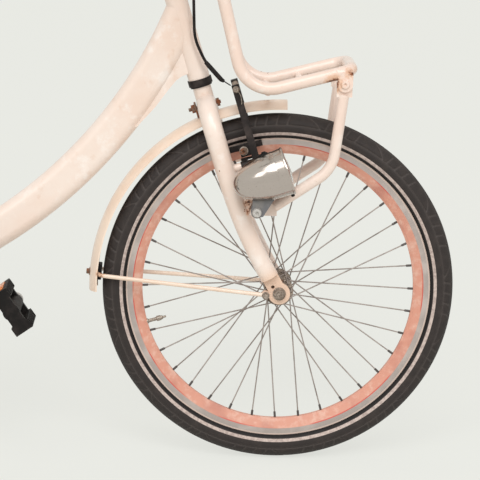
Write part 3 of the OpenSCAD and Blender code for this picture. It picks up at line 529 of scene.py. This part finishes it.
def groove_depth(along, angle):
    """Share of the tread's depth cut away at a place round the tyre (mm) and across it (radians).

    Each motif has four slanted cuts and one longer one, and the two sides are half a motif apart. Two lines
    run all round each side: one at the tread's edge and one by its crown.
    """
    t = np.abs(angle) / TREAD_EDGE
    s = np.mod(along + np.where(angle > 0, 0.0, MOTIF / 2), MOTIF)
    cut = np.zeros(np.broadcast(along, angle).shape)

    def line(centre, half, lo, hi):
        gap = np.abs(np.mod(s - centre + MOTIF / 2, MOTIF) - MOTIF / 2)
        return np.clip(1.6 - gap / half, 0, 1) * (t > lo) * (t < hi)

    def ring(share):
        return np.clip(1.6 - np.abs(t - share) / 0.035, 0, 1)

    for k in range(4):
        cut = np.maximum(cut, line(14 + 19 * k + 9 * t, 1.3, 0.34, 1.0))
    cut = np.maximum(cut, line(88 + 34 * (1 - t), 1.5, 0.16, 1.0))
    return np.maximum(cut, np.maximum(ring(1.0), ring(0.17)))


def tyre(name, hub, body, material, node):
    """Tyre with a cut tread, round side walls and a bead in the rim."""
    tread = np.linspace(-78, 78, 41)
    wall = np.linspace(84, 137, 9)
    angles = np.radians(np.concatenate([-wall[::-1], tread, wall]))
    along = np.arange(TYRE_STEPS) * 2 * math.pi * TYRE_R / TYRE_STEPS
    deep = groove_depth(along[:, None], angles[None, :])
    depth = SECTION_R - TREAD_DEPTH * deep
    radius = TYRE_R - SECTION_R + depth * np.cos(angles)
    cross = depth * np.sin(angles)
    right = np.array([(r, -y) for r, y in BEAD[::-1]])
    left = np.array(BEAD)

    def between_beads(column, rows):
        ends = [np.tile(bead[:, column], (TYRE_STEPS, 1)) for bead in (right, left)]
        return np.hstack([ends[0], rows, ends[1]])

    radius = between_beads(0, radius)
    cross = between_beads(1, cross)
    uncut = np.zeros((TYRE_STEPS, len(BEAD)))
    deep = np.hstack([uncut, deep, uncut])
    turn = (np.arange(TYRE_STEPS) * 2 * math.pi / TYRE_STEPS)[:, None]
    points = np.stack([hub.x + radius * np.cos(turn), cross, hub.z + radius * np.sin(turn)], axis=2)
    count = points.shape[1]
    park = np.array(PARK)
    verts = points.reshape(-1, 3) @ park[:3, :3].T + park[:3, 3]
    i, j = np.meshgrid(np.arange(TYRE_STEPS), np.arange(count), indexing="ij")
    row, next_row = i * count, (i + 1) % TYRE_STEPS * count
    next_j = (j + 1) % count
    quads = np.stack([row + j, row + next_j, next_row + next_j, next_row + j], axis=2).reshape(-1, 4)
    mesh = bpy.data.meshes.new(name)
    mesh.from_pydata(verts.tolist(), [], quads.tolist())
    groove = mesh.attributes.new("groove", "FLOAT", "POINT")
    groove.data.foreach_set("value", deep.astype(np.float32).ravel())
    obj = finished(name, mesh, material, body, 60)
    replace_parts(obj, node)


tyre("front_tyre_treaded", FRONT_HUB, "front_wheel", FRONT_RUBBER, "front_tyre")
tyre("rear_tyre_treaded", REAR_HUB, "rear_wheel", REAR_RUBBER, "rear_tyre")


# Wheel furniture

VALVE = [(0, 0), (4.5, 0), (4.5, 3), (3, 4), (3, 17), (4.6, 18),
         (4.6, 24), (3.4, 26), (3.4, 28), (1.9, 29), (1.9, 34), (0, 34.6)]
VALVE_ANGLE, VALVE_FOOT_R = 196, 233
SPOKE_HEAD = [(1.1, -4.2), (1.2, 1.4), (2.3, 1.5), (2.2, 2.3), (1.3, 3.0), (0, 3.2)]
SPOKES_A_SIDE, SPOKE_STEP = 18, 20


def wheel_furniture(end, hub, hole_r, flange_y):
    """Valve in the rim, and the spokes' heads on alternate faces of the hub's flanges."""
    body = end + "_wheel"
    outward = round_hub(Vector(), 1, VALVE_ANGLE)
    valve = Shape().turned(hub + VALVE_FOOT_R * outward, -outward, VALVE, 20)
    valve.make(end + "_valve", STEEL, body, "steel")
    heads = Shape()
    for side in (-1, 1):
        for i in range(SPOKES_A_SIDE):
            out = 1 if i % 2 == 0 else -1
            angle = i * SPOKE_STEP + (SPOKE_STEP / 2 if side > 0 else 0)
            centre = round_hub(hub, hole_r, angle, side * flange_y)
            heads.turned(centre, Vector((0, -side * out, 0)), SPOKE_HEAD, 12)
    heads.make(end + "_spoke_heads", HUB_STEEL, body, "steel")


wheel_furniture("front", FRONT_HUB, 20, 33)
wheel_furniture("rear", REAR_HUB, 33, 28)


# Mudguard and stay fastenings

GUARD_BOLT_R, CLIP_AND_SHADE_R, CLIP_AND_SHADE_FOOT_R = 322.6, 313.6, 306


def guard_fastening(end, hub, angle, body, eye, eye_y):
    """Bolt and clip where a stay meets its mudguard, and the bolts through the stay's eyes. The black clip
    blocks are larger than the clip, so they also stand as painted shade under the mudguard's end.
    """
    outward = round_hub(Vector(), 1, angle)
    tangent = round_hub(Vector(), 1, angle + 90)
    bolt = Shape().bolt(hub + GUARD_BOLT_R * outward, outward, 9, 5, 7)
    bolt.make(end + "_guard_bolt", RUSTY, body, "rusty_steel")
    # black blocks reaching past the real clip: partly the clip, partly painted shade under the mudguard's
    # end
    clip = Shape()
    turn = Matrix((outward, ACROSS, tangent)).transposed()
    clip.block(hub + CLIP_AND_SHADE_R * outward, (10, 17, 42), 2, turn)
    clip.block(hub + CLIP_AND_SHADE_FOOT_R * outward - 2 * tangent, (7, 24, 27), 1.5, turn)
    clip.make(end + "_guard_clip_and_shade", PLASTIC, body, "black_plastic")
    bolts = Shape()
    for side in (-1, 1):
        bolts.bolt(hub + Vector((eye[0], side * eye_y, eye[1])), ACROSS * side, 8, 5, 6.5)
    bolts.make(end + "_stay_bolts", HUB_STEEL, body, "steel")


guard_fastening("front", FRONT_HUB, 176, "steering", (-23, -2), 63.4)
guard_fastening("rear", REAR_HUB, 172, "frame", (-14, 14), 82.0)


# Brake fittings

PAD_POST, PAD_POST_Y = round_hub(FRONT_HUB, 250.25, 104.9), 47.4
PINCH_BOLT = [(0, 0), (5.6, 0), (6.0, 1), (6.0, 11), (5.2, 12), (4.2, 12.1), (4.2, 15), (3.4, 16), (0, 16)]
PAD_WASHER = [(0, 0), (7.6, 0), (7.6, 1.6), (6.8, 2.4), (0, 2.4)]
PAD_NUT = [(0, 1), (6.2, 1), (6.2, 6), (5.4, 7.6), (3.2, 7.6), (2.9, 4), (0, 4)]
WIRE_TAIL = [(3, 5.4, -2), (8, 6.6, -10), (10, 6, -22), (8, 5, -32)]
WIRE_R = 0.7
SLEEVE = [  # height along the steering axis, ahead of it, to the left, radius
    (409, 18.9, -29.1, 3.4), (402, 22.0, -29.6, 4.0), (391, 27.3, -31.1, 4.0),
    (380, 32.7, -32.4, 4.0), (374, 35.6, -33, 3.9), (369.6, 39.6, -33.7, 2.6),
]

pinch, pad_nuts, washers, tails = Shape(), Shape(), Shape(), Shape()
for side in (-1, 1):
    top = on_steer(352, 55, side * 37)
    pinch.turned(top - 5.5 * side * ACROSS, ACROSS * side, PINCH_BOLT, 28)
    post = PAD_POST + Vector((0, side * PAD_POST_Y, 0))
    washers.turned(post, ACROSS * side, PAD_WASHER, 32)
    pad_nuts.turned(post, ACROSS * side, PAD_NUT, 6)
    tails.tube([top + Vector((x, side * y, z)) for x, y, z in WIRE_TAIL], WIRE_R, 8)
pinch.make("brake_pinch_bolts", HUB_STEEL, "steering", "steel")
washers.make("brake_pad_washers", STEEL, "steering", "steel")
pad_nuts.make("brake_pad_nuts", RUSTY, "steering", "rusty_steel")
tails.make("brake_wire_tails", STEEL, "steering", "steel")
sleeve = Shape().tube([on_steer(*point[:3]) for point in SLEEVE], [point[3] for point in SLEEVE], 16)
sleeve.make("cable_sleeve", PLASTIC, "steering", "black_plastic")


# Lamp and carrier fittings

LAMP_SEAM = [(38.2, 0), (39.1, 0.4), (39.3, 1.4), (39.1, 2.4), (38.2, 2.8)]
LAMP_BEZEL = [(39.4, 0), (40.4, 0.8), (40.8, 2.6), (40.2, 4.4), (38.4, 5.2), (35.8, 4.6), (35.4, 2.5)]
LUG_X, LUG_Z = -42.4, 449.3

seams = Shape()
seams.turned(on_lamp(74), LAMP_DIR, LAMP_SEAM, 96)
seams.turned(on_lamp(90.5), LAMP_DIR, LAMP_BEZEL, 96)
seams.make("lamp_rings", CHROME, "steering", "chrome")
lamp_screw = Shape().screw(on_lamp(89, -39.4), -LAMP_UP, 3.4, 4.5)
lamp_screw.make("lamp_screw", PLASTIC, "steering", "black_plastic")
lamp_turn = Matrix((LAMP_DIR, ACROSS, LAMP_UP)).transposed()
switch = Shape().block(on_lamp(63, 38.2), (17, 12, 4), 1.6, lamp_turn)
switch.block(on_lamp(65, 40.6), (8, 8, 5), 1.8, lamp_turn)
switch.make("lamp_switch", PLASTIC, "steering", "black_plastic")
lamp_bolt = Shape().screw(Vector((LUG_X, -112.8, LUG_Z)), -ACROSS, 8, 5)
lamp_bolt.make("lamp_bolt", ALLOY, "steering", "bright_alloy")
tabs = Shape()
for side in (-1, 1):
    tabs.screw(Vector((100, side * 77.9, 660)), ACROSS * side, 7.4, 4.2)
tabs.make("carrier_tab_screws", CARRIER, "steering", "cream_paint")
lugs = Shape().bolt(Vector((LUG_X, 72.8, LUG_Z)), ACROSS, 9, 5, 7)
lugs.make("carrier_lug_bolts", STEEL, "steering", "steel")


# Pedal reflectors and treads

PEDAL_TILT = Matrix.Rotation(math.radians(55), 3, "Y")
PEDAL_Y, REFLECTOR_X = 128, 39.2
RIB_X, RIB_Z = 31, 16.2
RIBS, RIB_FIRST_Y, RIB_PITCH = 7, 97, 10.3


def pedal(side, body):
    centre = BRACKET + Vector((-side * CRANK, 0, 0))
    glow, ribs = Shape(), Shape()
    for x in (-1, 1):
        face = centre + PEDAL_TILT @ Vector((x * REFLECTOR_X, 0, 0)) + Vector((0, side * PEDAL_Y, 0))
        glow.block(face, (2.6, 54, 18), 1.0, PEDAL_TILT)
        for z in (-1, 1):
            row = centre + PEDAL_TILT @ Vector((x * RIB_X, 0, z * RIB_Z))
            for k in range(RIBS):
                spot = row + Vector((0, side * (RIB_FIRST_Y + RIB_PITCH * k), 0))
                ribs.block(spot, (13, 4, 2.4), 0.8, PEDAL_TILT)
    glow.make(body + "_reflectors", AMBER, body, "red_lens")
    ribs.make(body + "_treads", PLASTIC, body, "black_plastic")


pedal(-1, "pedal_right")
pedal(1, "pedal_left")


# Grips

BAR_MIDDLE = on_steer(623.5, 52)
GRIP_INNER, GRIP_END = (-45, 250, 60), (-190, 270, 40)
GRIP_COLLAR = [(11.4, 0), (16.6, 0.5), (17.2, 3), (16.4, 6), (15.0, 7.5)]
GRIP_RIB = [(14.6, 0), (15.5, 1.2), (15.5, 5.4), (14.6, 6.6)]
GRIP_CAP = [(15.2, 95), (16.4, 97), (16.6, 104), (15.4, 108), (10, 109), (0, 109)]
GRIP_PROFILE = GRIP_COLLAR + [(r, 9 + 8.4 * k + h) for k in range(10) for r, h in GRIP_RIB] + GRIP_CAP

both = Shape()
for side in (-1, 1):
    inner, end = [BAR_MIDDLE + Vector((x, side * y, z)) for x, y, z in (GRIP_INNER, GRIP_END)]
    along = (end - inner).normalized()
    both.turned(end - 105 * along, along, GRIP_PROFILE, 36)
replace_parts(both.make("ribbed_grips", GRIP, "steering", "grip_rubber", 50), "grips")


# Saddle

SADDLE_Z, RAIL_DROP, SEAT_TILT = 765, 55, math.radians(19)
SEAT_X = BRACKET.x - (SADDLE_Z - BRACKET.z - RAIL_DROP) * math.tan(SEAT_TILT)
SADDLE = [  # ahead of the seat post, half width, top
    (143, 1.5, 746), (140, 8, 753), (132, 13, 757), (115, 15.5, 759), (80, 19.5, 758.5),
    (45, 26, 758), (15, 36, 758.5), (-15, 51, 760), (-42, 66, 762.5), (-66, 76, 764),
    (-88, 77, 764.5), (-106, 70, 763), (-118, 57, 759), (-125, 38, 752),
]
SADDLE_LOW = 731.5
SADDLE_STEPS, PIPING_STEP, PIPING_R = 22, 4, 1.5


def saddle_row(ahead, half, top):
    """Points over the saddle from its left edge to its right."""
    row = []
    for k in range(SADDLE_STEPS + 1):
        a = math.pi * k / SADDLE_STEPS
        across = half * math.copysign(abs(math.cos(a)) ** 0.72, math.cos(a))
        up = (top - SADDLE_LOW) * math.sin(a) ** 0.62
        tuck = 1 - 0.07 * (1 - math.sin(a)) ** 2
        channel = 2.2 * math.exp(-((across / 7) ** 2)) * min(1.0, half / 40)
        row.append(Vector((SEAT_X + ahead, across * tuck, SADDLE_LOW + up - channel)))
    return row


def saddle():
    """Lofted cover with a tucked skirt, a shallow channel along its middle and piping round its edge."""
    rows = [saddle_row(*section) for section in SADDLE]
    width = SADDLE_STEPS + 1
    last = len(rows) - 1
    faces = []
    for i in range(last):
        lo, hi = i * width, (i + 1) * width
        for k in range(SADDLE_STEPS):
            faces.append([lo + k, lo + k + 1, hi + k + 1, hi + k])
        faces.append([lo, hi, hi + SADDLE_STEPS, lo + SADDLE_STEPS])
    faces += [list(range(width)), list(range(last * width, (last + 1) * width))]
    shape = Shape().add([v for row in rows for v in row], faces)
    cover = shape.make("saddle_padded", COVER, "frame", "saddle_cover", 60)
    smooth = cover.modifiers.new("round", "SUBSURF")
    smooth.levels = smooth.render_levels = 1
    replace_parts(cover, "saddle")
    left = [row[PIPING_STEP] + Vector((0, 0.6, 0.4)) for row in rows[1:]]
    right = [row[SADDLE_STEPS - PIPING_STEP] + Vector((0, -0.6, 0.4)) for row in rows[:0:-1]]
    piping = Shape().tube(left + right, PIPING_R, 8)
    piping.make("saddle_piping", PLASTIC, "frame", "saddle_cover")


saddle()


# Light, floor and camera

BACKDROP = srgb(234, 235, 229)
SKY, SKY_STRENGTH = (1.0, 0.99, 0.975, 1), 0.56
FLOOR_REACH, FLOOR_DROP, FLOOR_GLOW = 30, 0.0005, 0.82
CAMERA_LENS = 165.037
CAMERA_PLACE = (0.35425, -3.63582, 1.52982)
CAMERA_TURN = (72.1322, -1.2585, -1.1374)


def seen_directly(tree):
    """1 for camera, glossy and transmission rays."""
    path = tree.nodes.new("ShaderNodeLightPath").outputs
    total = path["Is Camera Ray"]
    for key in ("Is Glossy Ray", "Is Transmission Ray"):
        node = tree.nodes.new("ShaderNodeMath")
        node.operation = "MAXIMUM"
        tree.links.new(total, node.inputs[0])
        tree.links.new(path[key], node.inputs[1])
        total = node.outputs[0]
    return total


def coloured(tree, kind, colour):
    node = tree.nodes.new("ShaderNode" + kind)
    node.inputs["Color"].default_value = colour
    return node


def output_mix(tree, kind, share, plain, seen):
    """Sends plain to the tree's output, and seen in its place where share is 1."""
    out = tree.nodes.new("ShaderNode" + kind)
    mix = tree.nodes.new("ShaderNodeMixShader")
    tree.links.new(share, mix.inputs[0])
    tree.links.new(plain.outputs[0], mix.inputs[1])
    tree.links.new(seen.outputs[0], mix.inputs[2])
    tree.links.new(mix.outputs[0], out.inputs[0])


def make_world():
    world = bpy.data.worlds.new("studio")
    bpy.context.scene.world = world
    world.use_nodes = True
    tree = world.node_tree
    tree.nodes.clear()
    light = coloured(tree, "Background", SKY)
    light.inputs["Strength"].default_value = SKY_STRENGTH
    back = coloured(tree, "Background", BACKDROP)
    output_mix(tree, "OutputWorld", seen_directly(tree), light, back)


def make_floor():
    """Floor that shows most of the backdrop's colour and keeps the bicycle's shadow."""
    mesh = bpy.data.meshes.new("floor")
    corners = [(x * FLOOR_REACH, y * FLOOR_REACH, 0) for x, y in ((-1, -1), (1, -1), (1, 1), (-1, 1))]
    mesh.from_pydata(corners, [], [[0, 1, 2, 3]])
    floor = linked("floor", mesh)
    floor.location.z = -FLOOR_DROP
    mat = bpy.data.materials.new("pale_floor")
    mat.use_nodes = True
    tree = mat.node_tree
    tree.nodes.clear()
    matt = coloured(tree, "BsdfDiffuse", BACKDROP)
    glow = coloured(tree, "Emission", BACKDROP)
    share = tree.nodes.new("ShaderNodeMath")
    share.operation = "MULTIPLY"
    share.inputs[1].default_value = FLOOR_GLOW
    tree.links.new(seen_directly(tree), share.inputs[0])
    output_mix(tree, "OutputMaterial", share.outputs[0], matt, glow)
    mesh.materials.append(mat)


def make_lamp(name, kind, place, target, energy, **props):
    light = bpy.data.lights.new(name, kind)
    light.energy = energy
    for key, value in props.items():
        setattr(light, key, value)
    obj = linked(name, light)
    obj.location = place
    obj.rotation_euler = (Vector(target) - Vector(place)).to_track_quat("-Z", "Y").to_euler()


def make_camera():
    cam = bpy.data.cameras.new("camera")
    cam.sensor_width = 36
    cam.lens = CAMERA_LENS
    cam.clip_end = 200
    obj = linked("camera", cam)
    obj.location = CAMERA_PLACE
    obj.rotation_euler = [math.radians(a) for a in CAMERA_TURN]
    bpy.context.scene.camera = obj


make_world()
make_floor()
make_camera()
make_lamp("soft_sun", "SUN", (-0.6, -2.6, 4), (0, 0, 0.3), 1.36, angle=math.radians(40))
make_lamp("key_box", "AREA", (1.6, -2.2, 2.6), (0.4, 0, 0.4), 18, size=1.0)
make_lamp("fill_box", "AREA", (-1.3, -2.3, 2.1), (0.3, 0, 0.5), 6, size=0.8)
bpy.context.scene.view_settings.view_transform = "Standard"
